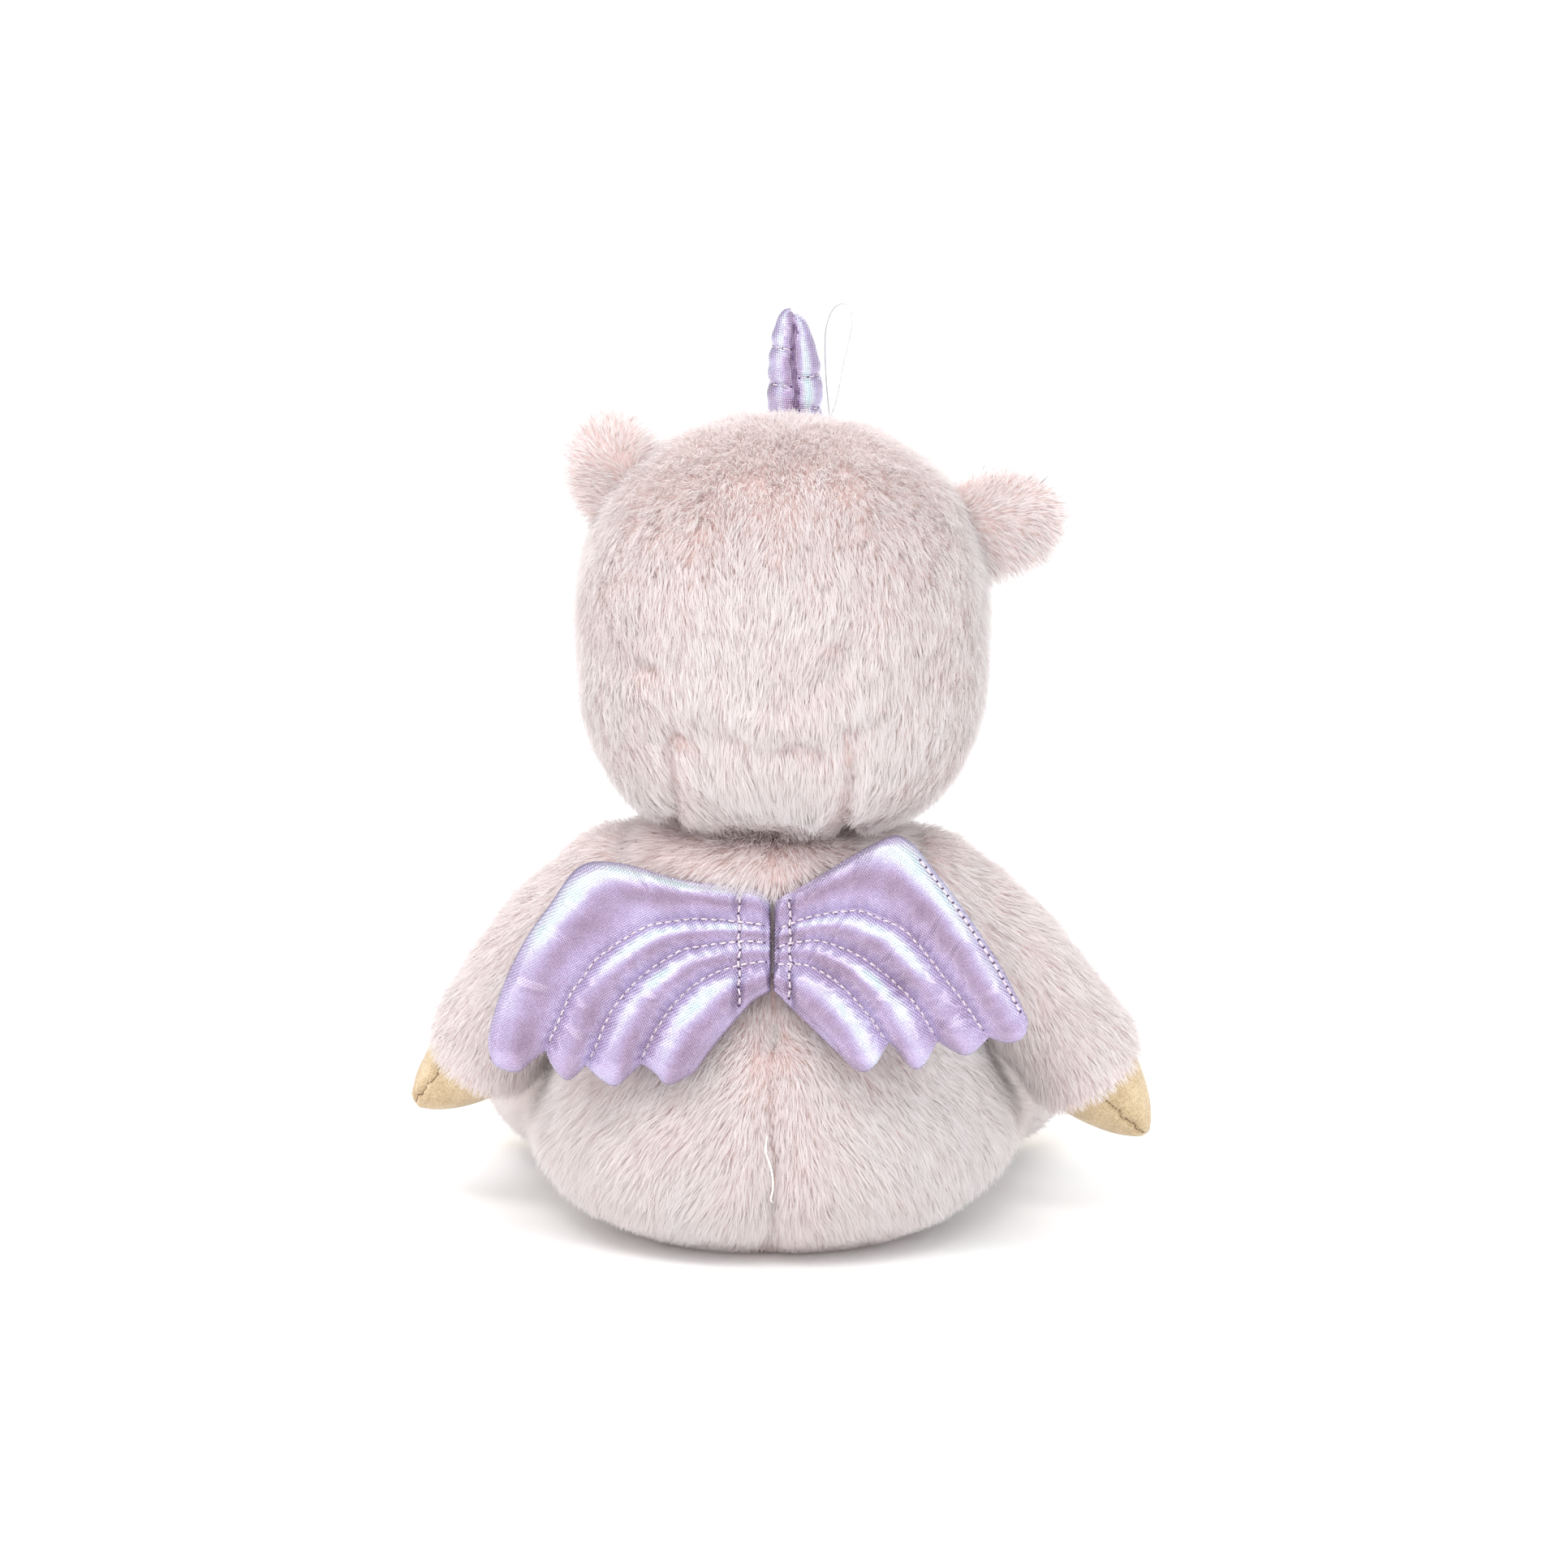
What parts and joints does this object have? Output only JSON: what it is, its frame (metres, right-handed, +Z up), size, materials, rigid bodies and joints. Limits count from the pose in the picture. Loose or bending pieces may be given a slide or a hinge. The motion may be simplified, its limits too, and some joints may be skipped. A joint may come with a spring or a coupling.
{
  "type": "plush unicorn",
  "caption": "Seated plush unicorn in long pink pile with a padded foil horn, quilted foil wings and suede hooves; head, ears, horn, limbs and wings flex at their seams",
  "frame": {"origin": "centre of the flat seat that the toy sits on", "axes": "+Z up, toy faces -Y, toy's left side is +X"},
  "size_m": [0.2099, 0.1839, 0.2736],
  "materials": {
    "fur": "long soft polyester pile, pale pink tips over deeper pink roots",
    "suede": "tan faux suede with a fine nap",
    "foil": "iridescent lavender foil printed on fine knit",
    "fibre": "white polyester fibre filling and wadding",
    "pellets": "bag of plastic pellets",
    "thread": "mauve polyester thread",
    "pale_thread": "off-white thread",
    "eye_plastic": "glossy dark plastic",
    "washer_plastic": "white plastic",
    "nylon": "clear nylon line"
  },
  "bodies": {
    "torso": {"torso_fur_cover": "fur", "torso_stuffing": "fibre", "pellet_bag": "pellets", "neck_gusset": "fur", "back_seam_thread": "pale_thread", "wing_stitching": "thread"},
    "neck": {"neck_gathering": "pale_thread"},
    "head": {"head_fur_cover": "fur", "head_stuffing": "fibre", "muzzle_cover": "suede", "muzzle_stuffing": "fibre", "eye_left": "eye_plastic", "eye_right": "eye_plastic", "eye_washer_left": "washer_plastic", "eye_washer_right": "washer_plastic", "nostril_left": "thread", "nostril_right": "thread", "mouth_stitch": "thread", "hang_loop": "nylon"},
    "horn": {"horn_cover": "foil", "horn_stuffing": "fibre"},
    "ear_left": {"ear_left_fur": "fur", "ear_left_lining": "suede"},
    "ear_right": {"ear_right_fur": "fur", "ear_right_lining": "suede"},
    "shoulder_left": {"shoulder_left_gathering": "pale_thread"},
    "arm_left": {"arm_left_fur_sleeve": "fur", "arm_left_hoof_cap": "suede", "arm_left_stuffing": "fibre"},
    "shoulder_right": {"shoulder_right_gathering": "pale_thread"},
    "arm_right": {"arm_right_fur_sleeve": "fur", "arm_right_hoof_cap": "suede", "arm_right_stuffing": "fibre"},
    "hip_left": {"hip_left_gathering": "pale_thread"},
    "leg_left": {"leg_left_fur_sleeve": "fur", "leg_left_hoof_cap": "suede", "leg_left_stuffing": "fibre"},
    "hip_right": {"hip_right_gathering": "pale_thread"},
    "leg_right": {"leg_right_fur_sleeve": "fur", "leg_right_hoof_cap": "suede", "leg_right_stuffing": "fibre"},
    "wing_left": {"wing_left_outer": "foil", "wing_left_wadding": "fibre", "wing_left_inner": "foil"},
    "wing_right": {"wing_right_outer": "foil", "wing_right_wadding": "fibre", "wing_right_inner": "foil"}
  },
  "joints": [
    {"name": "head_turn", "type": "hinge", "parent": "torso", "child": "neck", "pos_m": [0, 0, 0.112], "axis": [0, 0, 1], "range_deg": [-40, 40], "stiffness_Nm_per_rad": 0.4},
    {"name": "head_nod", "type": "hinge", "parent": "neck", "child": "head", "pos_m": [0, 0, 0.112], "axis": [1, 0, 0], "range_deg": [-8, 20], "stiffness_Nm_per_rad": 1},
    {"name": "horn_tilt", "type": "hinge", "parent": "head", "child": "horn", "pos_m": [-0.0067, -0.029, 0.2305], "axis": [1, 0, 0], "range_deg": [-12, 12], "stiffness_Nm_per_rad": 0.02},
    {"name": "ear_left_fold", "type": "hinge", "parent": "head", "child": "ear_left", "pos_m": [0.0413, -0.002, 0.2212], "axis": [0.6623, 0, -0.7493], "range_deg": [-25, 25], "stiffness_Nm_per_rad": 0.02},
    {"name": "ear_right_fold", "type": "hinge", "parent": "head", "child": "ear_right", "pos_m": [-0.0559, -0.002, 0.2085], "axis": [0.218, 0, 0.976], "range_deg": [-25, 25], "stiffness_Nm_per_rad": 0.02},
    {"name": "arm_left_raise", "type": "hinge", "parent": "torso", "child": "shoulder_left", "pos_m": [0.0455, 0, 0.1015], "axis": [0, -1, 0], "range_deg": [0, 60], "stiffness_Nm_per_rad": 0.08},
    {"name": "arm_left_swing", "type": "hinge", "parent": "shoulder_left", "child": "arm_left", "pos_m": [0.0455, 0, 0.1015], "axis": [-1, 0, 0], "range_deg": [-20, 25], "stiffness_Nm_per_rad": 0.08},
    {"name": "arm_right_raise", "type": "hinge", "parent": "torso", "child": "shoulder_right", "pos_m": [-0.0455, 0, 0.101], "axis": [0, 1, 0], "range_deg": [0, 60], "stiffness_Nm_per_rad": 0.08},
    {"name": "arm_right_swing", "type": "hinge", "parent": "shoulder_right", "child": "arm_right", "pos_m": [-0.0455, 0, 0.101], "axis": [-1, 0, 0], "range_deg": [-20, 25], "stiffness_Nm_per_rad": 0.08},
    {"name": "leg_left_splay", "type": "hinge", "parent": "torso", "child": "hip_left", "pos_m": [0.052, -0.034, 0.029], "axis": [0, 0, 1], "range_deg": [-8, 30], "stiffness_Nm_per_rad": 0.12},
    {"name": "leg_left_lift", "type": "hinge", "parent": "hip_left", "child": "leg_left", "pos_m": [0.052, -0.034, 0.029], "axis": [-1, 0, 0], "range_deg": [0, 30], "stiffness_Nm_per_rad": 0.12},
    {"name": "leg_right_splay", "type": "hinge", "parent": "torso", "child": "hip_right", "pos_m": [-0.052, -0.034, 0.029], "axis": [0, 0, -1], "range_deg": [-8, 30], "stiffness_Nm_per_rad": 0.12},
    {"name": "leg_right_lift", "type": "hinge", "parent": "hip_right", "child": "leg_right", "pos_m": [-0.052, -0.034, 0.029], "axis": [-1, 0, 0], "range_deg": [0, 30], "stiffness_Nm_per_rad": 0.12},
    {"name": "wing_left_flap", "type": "hinge", "parent": "torso", "child": "wing_left", "pos_m": [0.0022, 0.041, 0.095], "axis": [0, -0.3419, 0.9397], "range_deg": [0, 60], "stiffness_Nm_per_rad": 0.02},
    {"name": "wing_right_flap", "type": "hinge", "parent": "torso", "child": "wing_right", "pos_m": [-0.0022, 0.041, 0.095], "axis": [0, 0.3419, -0.9397], "range_deg": [-12, 45], "stiffness_Nm_per_rad": 0.02}
  ]
}
